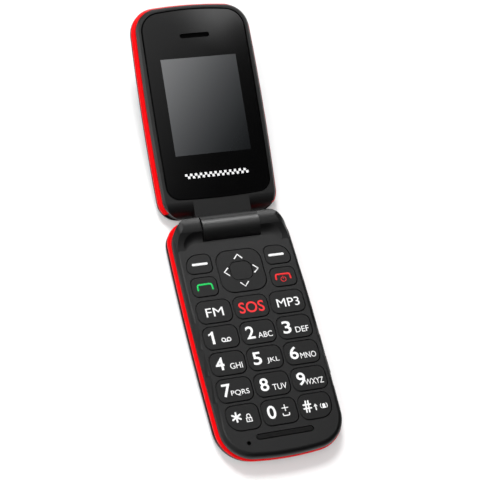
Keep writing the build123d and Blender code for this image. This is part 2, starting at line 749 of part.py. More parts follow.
with BuildPart() as usb_port:
    with BuildSketch(Plane.YZ.offset(usb_outer)):
        with Locations((hinge_y - usb_row, board_bottom - usb_height / 2)):
            RectangleRounded(usb_width, usb_height, 2 * usb_wall)
    extrude(amount=-usb_length)
    with BuildSketch(Plane.YZ.offset(usb_outer)):
        with Locations((hinge_y - usb_row, board_bottom - usb_height / 2)):
            Rectangle(usb_width - 2 * usb_wall, usb_height - 2 * usb_wall)
            Rectangle(usb_width / 2, usb_wall, mode=Mode.SUBTRACT)
    extrude(amount=-(usb_length - wall), mode=Mode.SUBTRACT)
save(usb_port.part, "usb_port")

with BuildPart() as base_screws:
    for across, before_axis in (upper_screw, lower_screw):
        spots = [(across, hinge_y - before_axis), (-across, hinge_y - before_axis)]
        with BuildSketch(Plane.XY.offset(screw_seat - screw_head_height)):
            with Locations(*spots):
                Circle(screw_head_radius)
        extrude(amount=screw_head_height)
        with BuildSketch(Plane.XY.offset(screw_seat)):
            with Locations(*spots):
                Circle(screw_radius - running_clearance / 2)
        extrude(amount=key_floor - seam - screw_seat)
save(base_screws.part, "base_screws")

# ---------------------------------------------------------------- hinge pins
with BuildPart() as pivot_tube:
    with BuildSketch(side_plane.offset(-knuckle_inner - pivot_grip)):
        Circle(pivot_radius)
        Circle(pivot_radius - pivot_wall, mode=Mode.SUBTRACT)
    extrude(amount=pivot_grip + knuckle_gap + pivot_reach)
save(pivot_tube.part, "pivot_tube")

with BuildPart() as drive_pin:
    with BuildSketch(side_plane.offset(knuckle_inner)):
        Circle(pivot_radius)
    extrude(amount=pivot_grip)
    with BuildSketch(side_plane.offset(knuckle_inner)):
        Circle(drive_radius)
    extrude(amount=-knuckle_gap - drive_reach)
save(drive_pin.part, "drive_pin")

with BuildPart() as cam_unit:
    with BuildSketch(side_plane.offset(barrel_half)):
        Circle(cam_radius)
        Circle(drive_radius + running_clearance, mode=Mode.SUBTRACT)
    extrude(amount=-(drive_reach + running_clearance))
    with BuildSketch(side_plane.offset(barrel_half - drive_reach - running_clearance)):
        Circle(cam_radius)
    extrude(amount=-(cam_length - drive_reach))
save(cam_unit.part, "cam_unit")

# ---------------------------------------------------------------- lid
outwards = Axis(lid_origin, out_of_window)
lid_frame_reach = lid_reach - lid_band_half_width + lid_half_width
lid_inset = band_wall + seam

# Everything beyond the rolled end of the lid, seen from the side.
with BuildPart() as beyond_chin:
    with BuildSketch(lid_side):
        with BuildLine():
            lean = chin_round * (1 - sin(radians(45)))
            ThreePointArc((lid_start + chin_round, 0), (lid_start + lean, -lean),
                          (lid_start, -chin_round))
            Polyline((lid_start, -chin_round), (lid_start, -2 * lid_thickness),
                     (-lid_start, -2 * lid_thickness), (-lid_start, lid_thickness),
                     (lid_start + chin_round, lid_thickness), (lid_start + chin_round, 0))
        make_face()
    extrude(amount=2 * lid_half_width, both=True)

frame_bottom = -lid_band_bottom + seam
ledge_bottom = -lid_band_top
with BuildPart() as lid_frame:
    with BuildSketch(lid_plane.offset(ledge_bottom + seam)):
        add(lid_plan(lid_half_width, lid_frame_reach))
    extrude(amount=lid_band_top - seam)
    chamfer(lid_frame.faces().sort_by(outwards)[-1].edges(), lid_bevel)
    # skirt inside the band, and the solid chin at the hinge end
    with BuildSketch(lid_plane.offset(frame_bottom)):
        add(lid_plan(lid_band_half_width, lid_reach, lid_inset))
    extrude(amount=ledge_bottom + 2 * seam - frame_bottom)
    with BuildSketch(lid_plane.offset(frame_bottom)):
        add(lid_plan(lid_band_half_width, lid_reach, lid_inset + wall))
    extrude(amount=ledge_bottom + seam - frame_bottom, mode=Mode.SUBTRACT)
    with BuildSketch(lid_plane.offset(frame_bottom)):
        add(lid_plan(lid_half_width, lid_frame_reach))
        with Locations((0, lid_start + chin_depth)):
            Rectangle(3 * lid_half_width, 2 * lid_reach, align=(Align.CENTER, Align.MIN),
                      mode=Mode.SUBTRACT)
    extrude(amount=ledge_bottom + 2 * seam - frame_bottom)
    add(beyond_chin.part, mode=Mode.SUBTRACT)
    # neck and barrel
    with BuildSketch(lid_side):
        with Locations((0, axis_above_window)):
            Circle(knuckle_radius)
        Rectangle(neck_end, neck_thickness, align=(Align.MIN, Align.MAX))
    extrude(amount=barrel_half, both=True)
    # seats for the pivot tube on the left and the cam unit on the right
    with BuildSketch(side_plane.offset(-barrel_half)):
        Circle(pivot_radius + running_clearance)
    extrude(amount=pivot_reach + running_clearance, mode=Mode.SUBTRACT)
    with BuildSketch(side_plane.offset(barrel_half)):
        Circle(cam_radius + running_clearance / 2)
    extrude(amount=-cam_length - running_clearance * 2, mode=Mode.SUBTRACT)
    # recess for the window, openings for the display and the earpiece
    with BuildSketch(lid_plane):
        add(window_plan(window_groove))
    extrude(amount=-window_thickness - seam, mode=Mode.SUBTRACT)
    with BuildSketch(lid_plane):
        with Locations((0, view_low + view_height / 2)):
            Rectangle(view_width + display_border, view_height + display_border)
        with Locations((0, ear_row)):
            SlotOverall(ear_length, ear_width)
    extrude(amount=-lid_band_top, mode=Mode.SUBTRACT)
    # screw holes with their heads let in
    with BuildSketch(lid_plane.offset(-window_thickness - seam)):
        with Locations(*lid_screw_spots):
            Circle(screw_radius + seam)
    extrude(amount=-lid_thickness, mode=Mode.SUBTRACT)
    with BuildSketch(lid_plane.offset(-window_thickness - seam)):
        with Locations(*lid_screw_spots):
            Circle(screw_head_radius + seam)
    extrude(amount=-seam - lid_head_height, mode=Mode.SUBTRACT)
save(lid_frame.part, "lid_frame")

with BuildPart() as window:
    with BuildSketch(lid_plane.offset(-window_thickness)):
        add(window_plan())
        with Locations((0, ear_row)):
            SlotOverall(ear_length, ear_width, mode=Mode.SUBTRACT)
    extrude(amount=window_thickness)
    chamfer(window.faces().sort_by(outwards)[-1].edges(), seam)
save(window.part, "window")

with BuildPart() as ear_grille:
    with BuildSketch(lid_plane.offset(-lid_band_top)):
        with Locations((0, ear_row)):
            SlotOverall(ear_length - 2 * seam, ear_width - 2 * seam)
    extrude(amount=lid_band_top - ear_setback)
save(ear_grille.part, "ear_grille")

with BuildPart() as display_module:
    with BuildSketch(lid_plane.offset(ledge_bottom - seam)):
        with Locations((0, view_low + view_height / 2)):
            RectangleRounded(view_width + 2 * display_border, view_height + 2 * display_border,
                             display_corner)
    extrude(amount=-display_thickness)
save(display_module.part, "display_module")

board_face = ledge_bottom - 2 * seam - display_thickness
with BuildPart() as lid_board:
    with BuildSketch(lid_plane.offset(board_face)):
        with Locations((0, view_low - display_border)):
            RectangleRounded(view_width, ear_row - view_low, wall, align=(Align.CENTER, Align.MIN))
    extrude(amount=-lid_board_thickness)
save(lid_board.part, "lid_board")

with BuildPart() as earpiece:
    with BuildSketch(lid_plane.offset(ledge_bottom - seam)):
        with Locations((0, ear_row)):
            RectangleRounded(ear_length, ear_depth, ear_width)
    extrude(amount=-ear_thickness)
save(earpiece.part, "earpiece")

with BuildPart() as lid_magnet:
    with BuildSketch(lid_plane.offset(ledge_bottom - seam)):
        with Locations((magnet_x, lid_screw_spots[-1][1])):
            Circle(magnet_radius)
    extrude(amount=-magnet_radius)
save(lid_magnet.part, "lid_magnet")

with BuildPart() as lid_band:
    with BuildSketch(lid_plane.offset(-lid_band_bottom)):
        add(lid_plan(lid_band_half_width, lid_reach))
    extrude(amount=lid_band_bottom - lid_band_top)
    upper_face = lid_band.faces().sort_by(outwards)[-1]
    chamfer(upper_face.edges(), lid_flare, lid_band_bottom - lid_band_top - 2 * lid_band_edge,
            reference=upper_face)
    fillet(lid_band.faces().sort_by(outwards)[0].edges(), lid_band_edge)
    with BuildSketch(lid_plane):
        add(lid_plan(lid_band_half_width, lid_reach, band_wall))
        with Locations((0, lid_start + chin_depth + seam)):
            Rectangle(3 * lid_half_width, 3 * lid_start, align=(Align.CENTER, Align.MAX))
    extrude(amount=-lid_thickness, mode=Mode.SUBTRACT)
save(lid_band.part, "lid_band")

inside_back = wall - lid_thickness
with BuildPart() as lid_cover:
    with BuildSketch(lid_plane.offset(-lid_thickness)):
        add(lid_plan(lid_back_half_width, lid_reach - lid_band_half_width + lid_back_half_width))
    extrude(amount=lid_thickness - lid_band_bottom - seam)
    fillet(lid_cover.faces().sort_by(outwards)[0].edges(), lid_back_edge)
    with BuildSketch(lid_plane.offset(inside_back)):
        add(lid_plan(lid_back_half_width, lid_reach, 2 * wall))
    extrude(amount=lid_thickness, mode=Mode.SUBTRACT)
    add(beyond_chin.part, mode=Mode.SUBTRACT)
    with BuildSketch(lid_plane.offset(inside_back)):
        with Locations(*lid_screw_spots):
            Circle(boss_radius)
    extrude(amount=ledge_bottom - inside_back)
    with BuildSketch(lid_plane):
        with Locations((0, camera_row)):
            Circle(camera_radius + seam)
    extrude(amount=-2 * lid_thickness, mode=Mode.SUBTRACT)
    with BuildSketch(lid_plane.offset(ledge_bottom)):
        with Locations(*lid_screw_spots):
            Circle(screw_radius)
    extrude(amount=inside_back - ledge_bottom, mode=Mode.SUBTRACT)
save(lid_cover.part, "lid_cover")

with BuildPart() as lid_screws:
    with BuildSketch(lid_plane.offset(-window_thickness - 2 * seam)):
        with Locations(*lid_screw_spots):
            Circle(screw_head_radius)
    extrude(amount=-lid_head_height)
    with BuildSketch(lid_plane.offset(-window_thickness - 2 * seam - lid_head_height)):
        with Locations(*lid_screw_spots):
            Circle(screw_radius - running_clearance / 2)
    extrude(amount=inside_back + window_thickness + 3 * seam + lid_head_height)
save(lid_screws.part, "lid_screws")

with BuildPart() as camera_module:
    with BuildSketch(lid_plane.offset(inside_back + seam)):
        with Locations((0, camera_row)):
            Rectangle(2 * camera_radius + 2 * wall, 2 * camera_radius + 2 * wall)
    extrude(amount=camera_radius)
    with BuildSketch(lid_plane.offset(inside_back + seam)):
        with Locations((0, camera_row)):
            Circle(camera_radius - wall)
    extrude(amount=-lens_rise)
save(camera_module.part, "camera_module")

with BuildPart() as camera_window:
    with BuildSketch(lid_plane.offset(-lid_thickness + seam)):
        with Locations((0, camera_row)):
            Circle(camera_radius)
    extrude(amount=wall - 2 * seam - lens_rise)
save(camera_window.part, "camera_window")

with BuildPart() as vibration_motor:
    with BuildSketch(lid_plane.offset(inside_back + seam)):
        with Locations((motor_x, camera_row)):
            Circle(motor_radius)
    extrude(amount=motor_height)
save(vibration_motor.part, "vibration_motor")
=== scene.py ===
"""Looks of a flip phone with a keypad base and a display lid, laid out as an add-on.

Lengths are metres in the part's own frame: +X to the right of the keypad, +Y towards
the hinge, +Z out of the keys.  Sizes in tables are millimetres and are named so.
"""
import json
import math

import bmesh
import bpy
from mathutils import Matrix, Vector


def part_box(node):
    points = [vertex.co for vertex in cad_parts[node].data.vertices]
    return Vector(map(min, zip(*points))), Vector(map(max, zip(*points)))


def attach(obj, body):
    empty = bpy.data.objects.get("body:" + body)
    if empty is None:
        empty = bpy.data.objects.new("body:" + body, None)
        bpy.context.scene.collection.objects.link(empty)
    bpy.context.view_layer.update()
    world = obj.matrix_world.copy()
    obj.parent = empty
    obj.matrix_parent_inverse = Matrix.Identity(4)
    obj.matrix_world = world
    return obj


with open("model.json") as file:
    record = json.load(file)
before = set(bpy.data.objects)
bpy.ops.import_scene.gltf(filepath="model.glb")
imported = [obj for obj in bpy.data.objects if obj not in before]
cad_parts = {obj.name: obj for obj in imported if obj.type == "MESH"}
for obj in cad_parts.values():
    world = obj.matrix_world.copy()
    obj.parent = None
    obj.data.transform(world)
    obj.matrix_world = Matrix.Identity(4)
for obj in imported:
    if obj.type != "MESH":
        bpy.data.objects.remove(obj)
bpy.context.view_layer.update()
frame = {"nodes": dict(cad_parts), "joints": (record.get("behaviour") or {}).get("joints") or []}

bl_info = {
    "name": "Flip phone",
    "version": (1, 0, 0),
    "blender": (4, 5, 0),
    "location": "View3D > Sidebar > Flip phone",
    "description": "Finishes, key legends and studio of a flip phone",
    "category": "Object",
}

MM = 0.001

# ------------------------------------------------------------------ places from the frame
HINGE = next(joint for joint in frame["joints"] if joint["name"] == "lid_hinge")
HINGE_POINT = Vector(HINGE["pos_m"])
LID_LEAN = math.radians(180.0 - HINGE["range_deg"][1])   # how far the open lid rises
AXIS_ABOVE_WINDOW = 2.6 * MM                             # hinge axis out of the window face
LID_TURN = Matrix.Rotation(LID_LEAN, 4, "X")
# from the lid's flat plan (hinge axis at y = 0, window face at z = 0) to the row frame
LID_PLACE = (Matrix.Translation(HINGE_POINT) @ LID_TURN
             @ Matrix.Translation((0.0, 0.0, -AXIS_ABOVE_WINDOW)))

KEYS = ["key_radio", "key_sos", "key_music", *[f"key_{n}" for n in range(10)], "key_star", "key_hash",
        "soft_left", "soft_right", "key_call", "key_end", "key_nav", "key_ok"]

# ------------------------------------------------------------------ key legends, in millimetres
PRINT_LIFT = 0.3                # middle of a print above its surface, as a share of its depth
LETTER_STEPS = 5                # stretches of a letter's curve between two points
LETTER_EXTRUDE = 0.5            # of the raw letter, before it is fitted to its size
DIGIT_X = -3.2                  # middle of a digit from the middle of its key
DIGIT_Y = 0.15
DIGIT_WIDTH = 3.4
DIGIT_WEIGHT = 0.015            # how far the strokes are thickened, for letters of size 1
DIGITS = {f"key_{n}": str(n) for n in (2, 3, 4, 5, 6, 7, 8, 9, 0)}
# node: letters, width
LETTERS = {"key_2": ("ABC", 5.8), "key_3": ("DEF", 5.4), "key_4": ("GHI", 4.9), "key_5": ("JKL", 5.0),
           "key_6": ("MNO", 6.3), "key_7": ("PQRS", 7.2), "key_8": ("TUV", 5.6), "key_9": ("WXYZ", 7.5)}
LETTERS_RIGHT = 5.45            # their right end from the middle of the key
LETTERS_Y = -1.35
# node: text, left or right of the key's middle, up or down, width, height, weight, ink
WORDS = {"key_radio": ("FM", 0.0, -0.25, 7.0, 3.6, 0.0, "print_white"),
         "key_sos": ("SOS", 0.1, -0.2, 10.2, 4.6, 0.012, "print_red"),
         "key_music": ("MP3", 0.2, -0.3, 9.2, 3.6, 0.0, "print_white")}


def arc(centre, radius, start, end, steps):
    """Points of a round stretch, angles in degrees."""
    turns = [math.radians(start + (end - start) * step / steps) for step in range(steps + 1)]
    return [(centre[0] + radius * math.cos(turn), centre[1] + radius * math.sin(turn)) for turn in turns]


STAR_X, STAR_Y, STAR_ARM = -2.6, 0.4, 1.75         # middle of the star sign and the reach of an arm
# node: list of (stroke width, corner radius, finish, lines)
MARKS = {
    "soft_left": [(1.05, 0.0, "print_white", [[(-2.35, -0.1), (3.0, -0.1)]])],
    "soft_right": [(1.05, 0.0, "print_white", [[(-3.2, -0.1), (2.2, -0.1)]])],
    "key_call": [(0.72, 0.7, "print_green",
                  [[(-2.85, -1.15), (-2.7, 1.0), (2.95, 1.05), (3.1, -1.15)]])],
    "key_end": [(0.72, 0.7, "print_red",
                 [[(-3.2, -0.9), (-3.0, 1.1), (2.7, 1.05), (2.85, -0.9)]]),
                (0.26, 0.0, "print_red",
                 [arc((-0.25, -1.15), 1.0, 125, 415, 20), [(-0.25, -0.9), (-0.25, 0.1)]])],
    "key_1": [(0.42, 0.0, "print_white",
               [arc((0.75, -1.25), 0.72, 0, 360, 18), arc((2.85, -1.25), 0.72, 0, 360, 18),
                [(0.75, -1.97), (2.85, -1.97)]])],
    "key_star": [(0.72, 0.0, "print_white",
                  [[(STAR_X + STAR_ARM * math.cos(turn), STAR_Y + STAR_ARM * math.sin(turn)),
                    (STAR_X - STAR_ARM * math.cos(turn), STAR_Y - STAR_ARM * math.sin(turn))]
                   for turn in (math.pi / 2, math.pi / 6, -math.pi / 6)]),
                 (0.36, 0.0, "print_white",
                  [[(1.4, -0.5), *arc((2.05, 0.35), 0.65, 180, 0, 10), (2.7, -0.5)],
                   [(1.05, -0.5), (3.05, -0.5)], [(1.05, -1.95), (3.05, -1.95)],
                   [(1.05, -0.5), (1.05, -1.95)], [(3.05, -0.5), (3.05, -1.95)],
                   [(2.05, -1.05), (2.05, -1.4)]])],
    "key_0": [(0.42, 0.0, "print_white", [[(1.15, 1.1), (3.45, 1.1)], [(2.3, 2.25), (2.3, -0.05)]]),
              (0.42, 0.35, "print_white",
               [[(1.05, -1.1), (1.05, -1.95), (3.55, -1.95), (3.55, -1.1)]])],
    "key_hash": [(0.62, 0.0, "print_white",
                  [[(-3.95, -2.0), (-3.6, 2.3)], [(-2.9, -2.0), (-2.55, 2.3)],
                   [(-4.75, 0.9), (-1.9, 0.9)], [(-4.75, -0.6), (-1.9, -0.6)]]),
                 (0.5, 0.0, "print_white", [[(-0.1, -1.6), (-0.1, 0.0)]]),
                 (0.28, 0.0, "print_white",
                  [arc((3.2, -0.45), 1.35, 140, 215, 8), arc((3.2, -0.45), 1.35, -35, 40, 8)])],
}
# node: filled shapes as outlines
SHAPES = {
    "key_1": [[(-4.75, 1.05), (-4.75, 1.8), (-3.95, 2.1), (-3.35, 2.75), (-2.75, 2.75), (-2.75, -2.45),
               (-3.75, -2.45), (-3.75, 1.5)]],
    "key_hash": [[(-0.1, 0.8), (-0.9, -0.3), (0.7, -0.3)],
                 [(2.3, -1.45), (4.1, -1.45), (3.75, -0.9), *arc((3.2, -0.2), 0.6, 10, 170, 8),
                  (2.65, -0.9)]],
}
LAYER = 0.002 * MM                                 # crossing lines lie this far over each other
STROKE_CORNER_STEPS = 5                            # points in a rounded corner of a stroke
STROKE_END_SIDES = 16                              # sides of the disc that rounds its end
CHEVRON = [(-1.7, 0.0), (0.0, 1.9), (1.7, 0.0)]    # one arrow of the direction key
CHEVRON_FOOT = 5.05                                # its feet from the middle of that key
CHEVRON_STROKE = 0.52

# ------------------------------------------------------------------ window and display, lid plan in mm
VIEW_HALF_WIDTH = 15.84
VIEW_LOW = 31.15
VIEW_HEIGHT = 39.6
SCREEN_SHEEN_ACROSS = (0.80, -0.60, 0.0)                 # the way in which the display's painted reflection, a grey, falls off
SCREEN_SHEEN_REACH = 27.0                                # half the length over which it does
# tones of the painted reflection, from bright grey at the upper left to black at the lower right
SCREEN_SHEEN_TONES = [(0.0, (0.175, 0.178, 0.181)), (0.35, (0.073, 0.075, 0.078)),
                (0.7, (0.017, 0.0185, 0.02)), (1.0, (0.0025, 0.003, 0.0035))]
EDGE_HALF_WIDTH = 21.8                             # painted shade of the groove: a dark line just inside the window's edge
EDGE_LOW = 13.4
EDGE_HIGH = 90.8
EDGE_BOWS = (0.9, 2.0, 0.4)                        # low end, far end, sides
EDGE_CORNERS = (5.3, 7.8)                          # low end, far end
EDGE_STROKE = 0.42
EDGE_CORNER_STEPS = 10
EDGE_SIDE_STEPS = 8
EDGE_END_STEPS = 5                                 # from the middle of an end to its corner
EDGE_SETTLE = 4                                    # rounds in which a corner finds its place
CHECK_ROW_MIDDLE = 22.7
CHECK_COLUMNS = 26
CHECK_ROWS = 2
CHECK_FILL = 0.98                                  # share of a square's side that is printed


def window_edge():
    """The line of painted groove shade round the window, on the lid's flat plan."""
    low_bow, high_bow, side_bow = EDGE_BOWS
    low_corner, high_corner = EDGE_CORNERS
    middle, reach = (EDGE_LOW + EDGE_HIGH) / 2, (EDGE_HIGH - EDGE_LOW) / 2

    def side(y):
        return EDGE_HALF_WIDTH - side_bow * ((y - middle) / reach) ** 2

    def bulge(x, bow):
        return bow * (x / EDGE_HALF_WIDTH) ** 2

    def bend(end, bow, corner, way):
        y = end - way * corner
        for _ in range(EDGE_SETTLE):
            x = side(y) - corner
            y = end - way * (bulge(x, bow) + corner)
        start = -90 if way < 0 else 0
        return arc((x, y), corner, start, start + 90, EDGE_CORNER_STEPS)

    low = bend(EDGE_LOW, low_bow, low_corner, -1)
    high = bend(EDGE_HIGH, high_bow, high_corner, 1)
    foot, top = low[-1][1], high[0][1]
    heights = [foot + (top - foot) * step / EDGE_SIDE_STEPS for step in range(1, EDGE_SIDE_STEPS)]
    inner = [low[0][0] * step / EDGE_END_STEPS for step in range(1, EDGE_END_STEPS)]
    outer = [high[-1][0] * step / EDGE_END_STEPS for step in range(EDGE_END_STEPS - 1, 0, -1)]
    right = [(0.0, EDGE_LOW), *[(x, EDGE_LOW + bulge(x, low_bow)) for x in inner], *low,
             *[(side(y), y) for y in heights], *high,
             *[(x, EDGE_HIGH - bulge(x, high_bow)) for x in outer], (0.0, EDGE_HIGH)]
    return right + [(-x, y) for x, y in reversed(right[1:-1])]


# ------------------------------------------------------------------ camera and studio
# lamp: place from the hinge, width and height in metres, power in watts,
# and the rays that see it, "diffuse" or "glossy"
LAMPS = {"back_lamp": ((-0.32, 0.95, 1.9), (0.6, 0.6), 33.5, "diffuse"),
         "front_lamp": ((-0.65, -0.7, 1.8), (0.9, 0.9), 12.0, "diffuse"),
         "barrel_box": ((0.36, 0.92, 0.86), (0.8, 0.4), 11.0, "glossy"),
         "shoulder_box": ((0.31, 0.2, 1.05), (0.34, 0.16), 0.45, "glossy"),
         "roll_box": ((-0.3, 0.38, 1.04), (0.3, 0.7), 5.3, "glossy"),
         "edge_strip": ((-0.95, 0.42, 0.34), (0.9, 0.5), 2.4, "glossy")}
SKY_TOWARDS = (-0.85, 0.45, 0.27)           # the bright side of the studio
SKY_EDGE = (-0.06, 0.05)                    # where the dark side turns bright
SKY_BACK = (0.15, 0.45)                     # where it falls off towards the back
SKY_BACK_SHARE = 0.3                        # and the share that is left there
FLOOR_FADE = (0.3, 0.9)                     # metres out, over which the floor turns plain white
PAPER_WHITE = 0.92
CAMERA_FROM_HINGE = (-0.17708, -0.24553, 0.50788)
CAMERA_TURN = (28.006, -12.819, -14.362)    # degrees about X, Y and Z
CAMERA_LENS = 112.1                         # millimetres, like the sensor
SENSOR = 36.0
CAMERA_CLIP = (0.02, 50.0)                  # nearest and farthest that it sees, in metres
BRUSHED = (1.0, 0.08, 1.0)                  # stretch of the grain on the metals
WELD = 1e-7                                 # points closer than this, in metres, are one


class PhoneFinishes(bpy.types.PropertyGroup):
    """Colours of the mouldings and prints."""
    front: bpy.props.FloatVectorProperty(
        name="Front", description="Matte plastic of the keypad face and the lid frame",
        subtype="COLOR", size=3, min=0.0, max=1.0, default=(0.0025, 0.0025, 0.0026))
    keys: bpy.props.FloatVectorProperty(
        name="Keys", description="Satin plastic of the key tops",
        subtype="COLOR", size=3, min=0.0, max=1.0, default=(0.0022, 0.0022, 0.0023))
    band: bpy.props.FloatVectorProperty(
        name="Bands", description="Glossy plastic of the two bands",
        subtype="COLOR", size=3, min=0.0, max=1.0, default=(0.74, 0.0, 0.002))
    back: bpy.props.FloatVectorProperty(
        name="Backs", description="Battery cover and outer lid shell",
        subtype="COLOR", size=3, min=0.0, max=1.0, default=(0.003, 0.003, 0.0031))
    print_white: bpy.props.FloatVectorProperty(
        name="White print", description="Digits, letters and check strip",
        subtype="COLOR", size=3, min=0.0, max=1.0, default=(0.86, 0.86, 0.86))
    print_red: bpy.props.FloatVectorProperty(
        name="Red print", description="Alarm word and end-call mark",
        subtype="COLOR", size=3, min=0.0, max=1.0, default=(0.78, 0.012, 0.015))
    print_green: bpy.props.FloatVectorProperty(
        name="Green print", description="Call mark",
        subtype="COLOR", size=3, min=0.0, max=1.0, default=(0.0, 0.55, 0.1))


class PhoneSizes(bpy.types.PropertyGroup):
    """Sizes of the printed marks."""
    digit_height: bpy.props.FloatProperty(
        name="Digit height", description="Height of the big digits",
        default=5.2 * MM, min=1 * MM, unit="LENGTH")
    letter_height: bpy.props.FloatProperty(
        name="Letter height", description="Height of the small letters",
        default=2.35 * MM, min=0.5 * MM, unit="LENGTH")
    print_depth: bpy.props.FloatProperty(
        name="Print depth", description="Thickness of the printed marks",
        default=0.03 * MM, min=0.01 * MM, unit="LENGTH")
    check: bpy.props.FloatProperty(
        name="Check", description="Side of one square in the check strip",
        default=1.02 * MM, min=0.2 * MM, unit="LENGTH")


class PhoneStudio(bpy.types.PropertyGroup):
    """Light and floor."""
    lamp_power: bpy.props.FloatProperty(
        name="Lamps", description="Share of their full power at which the lamps burn", default=1.0, min=0.0)
    sky_bright: bpy.props.FloatProperty(
        name="Bright sky", description="Strength of the studio's bright side", default=0.85, min=0.0)
    sky_dark: bpy.props.FloatProperty(
        name="Dark sky", description="Strength of the studio's dark side", default=0.03, min=0.0)
    floor_glow: bpy.props.FloatProperty(
        name="Floor glow", description="Share of the floor's white that needs no light",
        default=0.2, min=0.0, max=1.0, subtype="FACTOR")
    floor_size: bpy.props.FloatProperty(
        name="Floor", description="Side of the floor", default=24.0, min=1.0, unit="LENGTH")


# ------------------------------------------------------------------ materials
FINISHES = {}


def add_node(tree, kind, links=None, **settings):
    """A node of this kind; links fill its inputs by name or number, with sockets or values."""
    made = tree.nodes.new(kind)
    for key, value in settings.items():
        setattr(made, key, value)
    for socket, value in (links or {}).items():
        if isinstance(value, bpy.types.NodeSocket):
            tree.links.new(value, made.inputs[socket])
        else:
            made.inputs[socket].default_value = value
    return made


def ranged(tree, value, low, high, smooth=False, source=(0.0, 1.0)):
    """A value mapped to a new range."""
    links = {"Value": value, "From Min": source[0], "From Max": source[1], "To Min": low, "To Max": high}
    kind = "SMOOTHSTEP" if smooth else "LINEAR"
    return add_node(tree, "ShaderNodeMapRange", links, interpolation_type=kind).outputs["Result"]


class Finish:
    """One node material around a Principled shader, read from Object coordinates."""

    def __init__(self, name, colour, roughness, **sockets):
        self.colour = tuple(colour)
        self.material = bpy.data.materials.new(name)
        self.material.use_nodes = True
        self.tree = self.material.node_tree
        self.shader = self.tree.nodes["Principled BSDF"]
        self.shader.inputs["Base Color"].default_value = (*colour, 1.0)
        self.shader.inputs["Roughness"].default_value = roughness
        for socket, value in sockets.items():
            self.shader.inputs[socket.replace("_", " ")].default_value = value
        self.place = self.node("ShaderNodeTexCoord").outputs["Object"]
        FINISHES[name] = self.material

    def node(self, kind, links=None, **settings):
        """A node of this kind in the material."""
        return add_node(self.tree, kind, links, **settings)

    def feed(self, value, socket):
        """Links a value into the shader."""
        self.tree.links.new(value, self.shader.inputs[socket])
        return self

    def stretch(self, scale):
        """Stretches the coordinates that the textures read."""
        mapping = self.node("ShaderNodeMapping", {"Vector": self.place, "Scale": scale})
        self.place = mapping.outputs["Vector"]

    def noise(self, size, detail=3.0):
        """A noise with features of about this size, in metres."""
        links = {"Vector": self.place, "Scale": 1.0 / size, "Detail": detail}
        return self.node("ShaderNodeTexNoise", links).outputs["Fac"]

    def bump(self, height, depth):
        """Relief on the surface, its depth in metres."""
        relief = self.node("ShaderNodeBump", {"Height": height, "Strength": 1.0, "Distance": depth})
        return self.feed(relief.outputs["Normal"], "Normal")

    def polish(self, low, high, size):
        """Roughness that wanders between two values."""
        return self.feed(ranged(self.tree, self.noise(size), low, high), "Roughness")

    def mottle(self, spread, size):
        """The colour, wandering lighter and darker by a share of itself."""
        darker = [c * (1.0 - spread) for c in self.colour]
        lighter = [min(1.0, c * (1.0 + spread)) for c in self.colour]
        links = {"Factor": self.noise(size), "A": (*darker, 1.0), "B": (*lighter, 1.0)}
        mixed = self.node("ShaderNodeMix", links, data_type="RGBA")
        return self.feed(mixed.outputs["Result"], "Base Color")


def moulded_finishes(finishes):
    """Matte, satin and glossy mouldings."""
    for name, level in (("front_plastic", 0.26), ("lid_plastic", 0.5)):
        front = Finish(name, finishes.front, 0.38, Specular_IOR_Level=level)
        front.mottle(0.18, 9 * MM).polish(0.34, 0.42, 1.2 * MM)
        front.bump(front.noise(0.16 * MM, 2.0), 0.006 * MM)
    keys = Finish("key_plastic", finishes.keys, 0.4, Specular_IOR_Level=0.22)
    keys.mottle(0.2, 6 * MM).polish(0.34, 0.46, 1.5 * MM)
    keys.bump(keys.noise(0.25 * MM, 2.0), 0.003 * MM)
    band = Finish("band_red", finishes.band, 0.3, Specular_IOR_Level=0.04)
    band.mottle(0.05, 12 * MM).polish(0.26, 0.36, 3 * MM)
    back = Finish("back_plastic", finishes.back, 0.4, Specular_IOR_Level=0.25)
    back.mottle(0.2, 11 * MM).polish(0.36, 0.48, 2 * MM)
    back.bump(back.noise(0.2 * MM, 2.0), 0.004 * MM)
    window = Finish("window_black", (0.0006, 0.0006, 0.0007), 0.09)
    window.polish(0.07, 0.12, 14 * MM)


def printed_finishes(finishes):
    """Inks of the legends, slightly uneven as pad print is."""
    for name in ("print_white", "print_red", "print_green"):
        ink = Finish(name, getattr(finishes, name), 0.45, Specular_IOR_Level=0.3)
        ink.mottle(0.06, 0.8 * MM)
        ink.bump(ink.noise(0.12 * MM, 2.0), 0.004 * MM)


